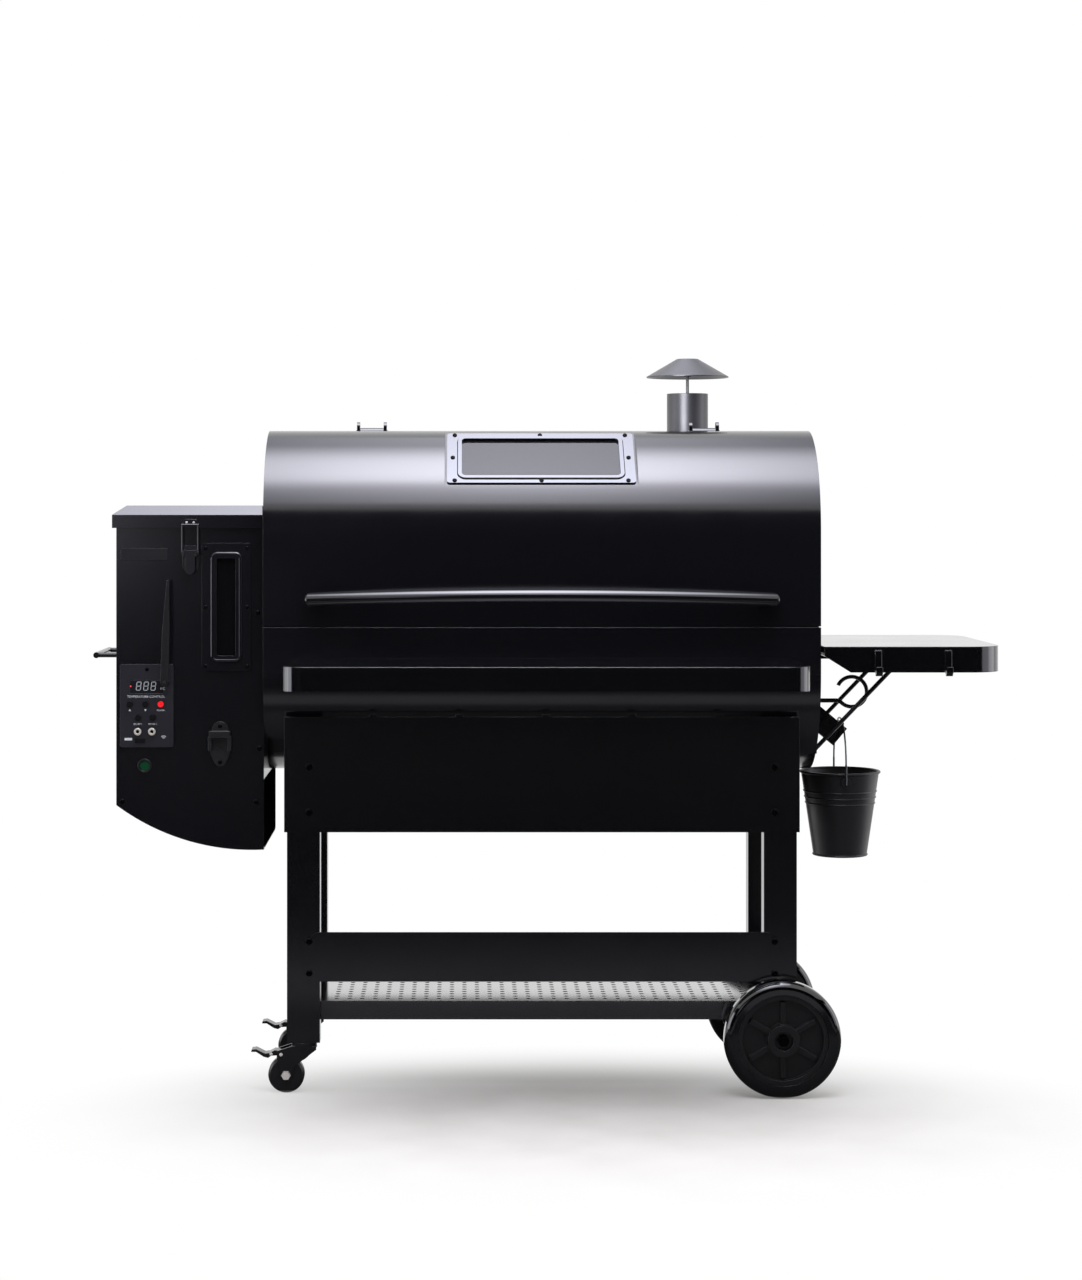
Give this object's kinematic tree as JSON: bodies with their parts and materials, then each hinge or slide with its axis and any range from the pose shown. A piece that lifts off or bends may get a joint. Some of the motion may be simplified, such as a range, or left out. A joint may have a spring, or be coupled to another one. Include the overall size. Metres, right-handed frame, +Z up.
{
  "type": "pellet smoker grill",
  "caption": "Obround barrel grill on a wheeled cart with a hinged windowed lid, pellet hopper and controller, folding and fixed shelves, chimney and hanging grease bucket.",
  "frame": {"origin": "on the floor under the middle of the whole grill's bounding box", "axes": "+X to the side shelf's end, +Y to the back, +Z up; the front faces -Y"},
  "size_m": [1.666, 0.7616, 1.362],
  "materials": {
    "satin_black": "satin textured powder coat",
    "gloss_black": "gloss powder coat",
    "steel": "bare steel",
    "tray_steel": "dark porcelain",
    "cast": "bare casting",
    "pane": "clear heat-proof glass",
    "hub": "moulded",
    "tyre": "gloss solid tyre",
    "dark_plastic": "moulded",
    "lens": "smoked lens",
    "red": "gloss",
    "green": "lit rocker",
    "pail": "gloss enamel"
  },
  "bodies": {
    "grill": {"barrel_body": "satin_black", "chimney_pipe": "satin_black", "grease_chute": "satin_black", "drip_tray": "tray_steel", "grates": "cast", "firepot": "cast", "auger_tube": "steel", "aprons": "satin_black", "saddles": "satin_black", "legs": "satin_black", "rails": "satin_black", "bottom_shelf": "satin_black", "wheel_axle": "steel", "hopper_shell": "satin_black", "hopper_bin": "steel", "hopper_window": "satin_black", "hopper_glass": "pane", "control_panel": "dark_plastic", "display_lens": "lens", "probe_jacks": "steel", "switch_bezel": "dark_plastic", "bottle_opener": "satin_black", "side_handle": "satin_black", "latch_base": "satin_black", "auger_motor": "steel", "side_shelf": "gloss_black", "shelf_struts": "satin_black", "front_shelf_brackets": "satin_black", "lid_hinges": "steel"},
    "lid": {"lid_shell": "satin_black", "window_frame": "steel", "window_glass": "pane", "lid_handle": "satin_black", "lid_knuckles": "steel"},
    "hopper_lid": {"hopper_lid": "satin_black"},
    "latch": {"latch_lever": "satin_black"},
    "antenna": {"antenna": "dark_plastic"},
    "button_up": {"button_up": "dark_plastic"},
    "button_down": {"button_down": "dark_plastic"},
    "button_power": {"button_power": "red"},
    "button_probe_one": {"button_probe_one": "dark_plastic"},
    "button_probe_two": {"button_probe_two": "dark_plastic"},
    "rocker": {"power_rocker": "green"},
    "cap": {"chimney_cap": "satin_black"},
    "wheel_front": {"wheel_front": "hub", "tyre_front": "tyre"},
    "wheel_rear": {"wheel_rear": "hub", "tyre_rear": "tyre"},
    "fork_front": {"caster_fork_front": "satin_black"},
    "fork_rear": {"caster_fork_rear": "satin_black"},
    "caster_front": {"caster_wheel_front": "hub"},
    "caster_rear": {"caster_wheel_rear": "hub"},
    "brake_front": {"caster_brake_front": "satin_black"},
    "brake_rear": {"caster_brake_rear": "satin_black"},
    "front_shelf": {"front_shelf": "gloss_black"},
    "bail": {"bail": "steel"},
    "bucket": {"bucket": "pail"},
    "auger": {"auger": "steel"},
    "heat_shield": {"heat_shield": "satin_black"},
    "fan": {"combustion_fan": "dark_plastic"}
  },
  "joints": [
    {"name": "lid_hinge", "type": "hinge", "parent": "grill", "child": "lid", "pos_m": [-0.005, 0.12925, 1.21263], "axis": [-1, 0, 0], "range_deg": [0, 85]},
    {"name": "hopper_lid_hinge", "type": "hinge", "parent": "grill", "child": "hopper_lid", "pos_m": [-0.647, 0.20925, 1.04], "axis": [-1, 0, 0], "range_deg": [0, 95]},
    {"name": "latch_swing", "type": "hinge", "parent": "grill", "child": "latch", "pos_m": [-0.647, -0.11375, 0.985], "axis": [1, 0, 0], "range_deg": [0, 10]},
    {"name": "antenna_tilt", "type": "hinge", "parent": "grill", "child": "antenna", "pos_m": [-0.692, -0.12975, 0.75], "axis": [0, 1, 0], "range_deg": [-85, 60]},
    {"name": "press_up", "type": "slide", "parent": "grill", "child": "button_up", "axis": [0, 1, 0], "range_m": [0, 0.0012], "stiffness_N_per_m": 300},
    {"name": "press_down", "type": "slide", "parent": "grill", "child": "button_down", "axis": [0, 1, 0], "range_m": [0, 0.0012], "stiffness_N_per_m": 300},
    {"name": "press_power", "type": "slide", "parent": "grill", "child": "button_power", "axis": [0, 1, 0], "range_m": [0, 0.0012], "stiffness_N_per_m": 300},
    {"name": "press_probe_one", "type": "slide", "parent": "grill", "child": "button_probe_one", "axis": [0, 1, 0], "range_m": [0, 0.0012], "stiffness_N_per_m": 300},
    {"name": "press_probe_two", "type": "slide", "parent": "grill", "child": "button_probe_two", "axis": [0, 1, 0], "range_m": [0, 0.0012], "stiffness_N_per_m": 300},
    {"name": "rocker_tip", "type": "hinge", "parent": "grill", "child": "rocker", "pos_m": [-0.731, -0.10425, 0.596], "axis": [0, 0, 1], "range_deg": [-7, 7]},
    {"name": "cap_lift", "type": "slide", "parent": "grill", "child": "cap", "axis": [0, 0, 1], "range_m": [-0.022, 0.006]},
    {"name": "wheel_front_spin", "type": "hinge", "parent": "grill", "child": "wheel_front", "pos_m": [0.4295, -0.15275, 0.106], "axis": [0, 1, 0], "continuous": true},
    {"name": "wheel_rear_spin", "type": "hinge", "parent": "grill", "child": "wheel_rear", "pos_m": [0.4295, 0.21125, 0.106], "axis": [0, 1, 0], "continuous": true},
    {"name": "swivel_front", "type": "hinge", "parent": "grill", "child": "fork_front", "pos_m": [-0.4395, -0.10475, 0], "axis": [0, 0, 1], "continuous": true},
    {"name": "caster_spin_front", "type": "hinge", "parent": "fork_front", "child": "caster_front", "pos_m": [-0.4715, -0.10475, 0.033], "axis": [0, 1, 0], "continuous": true},
    {"name": "brake_press_front", "type": "hinge", "parent": "fork_front", "child": "brake_front", "pos_m": [-0.4805, -0.10475, 0.071], "axis": [0, -1, 0], "range_deg": [0, 10]},
    {"name": "swivel_rear", "type": "hinge", "parent": "grill", "child": "fork_rear", "pos_m": [-0.4395, 0.16325, 0], "axis": [0, 0, 1], "continuous": true},
    {"name": "caster_spin_rear", "type": "hinge", "parent": "fork_rear", "child": "caster_rear", "pos_m": [-0.4715, 0.16325, 0.033], "axis": [0, 1, 0], "continuous": true},
    {"name": "brake_press_rear", "type": "hinge", "parent": "fork_rear", "child": "brake_rear", "pos_m": [-0.4805, 0.16325, 0.071], "axis": [0, -1, 0], "range_deg": [0, 10]},
    {"name": "front_shelf_fold", "type": "hinge", "parent": "grill", "child": "front_shelf", "pos_m": [-0.005, -0.15675, 0.758], "axis": [1, 0, 0], "range_deg": [0, 90]},
    {"name": "bail_swing", "type": "hinge", "parent": "grill", "child": "bail", "pos_m": [0.564, 0.05925, 0.66058], "axis": [0, 1, 0], "range_deg": [-25, 0]},
    {"name": "bucket_swing", "type": "hinge", "parent": "bail", "child": "bucket", "pos_m": [0.564, 0.05925, 0.555], "axis": [0, 1, 0], "range_deg": [-25, 0]},
    {"name": "auger_spin", "type": "hinge", "parent": "grill", "child": "auger", "pos_m": [-0.305, 0.05925, 0.64], "axis": [1, 0, 0], "continuous": true},
    {"name": "fan_spin", "type": "hinge", "parent": "grill", "child": "fan", "pos_m": [-0.565, 0.12925, 0.548], "axis": [1, 0, 0], "continuous": true},
    {"name": "heat_shield_pull", "type": "slide", "parent": "grill", "child": "heat_shield", "axis": [1, 0, 0], "range_m": [0, 0.06]}
  ]
}
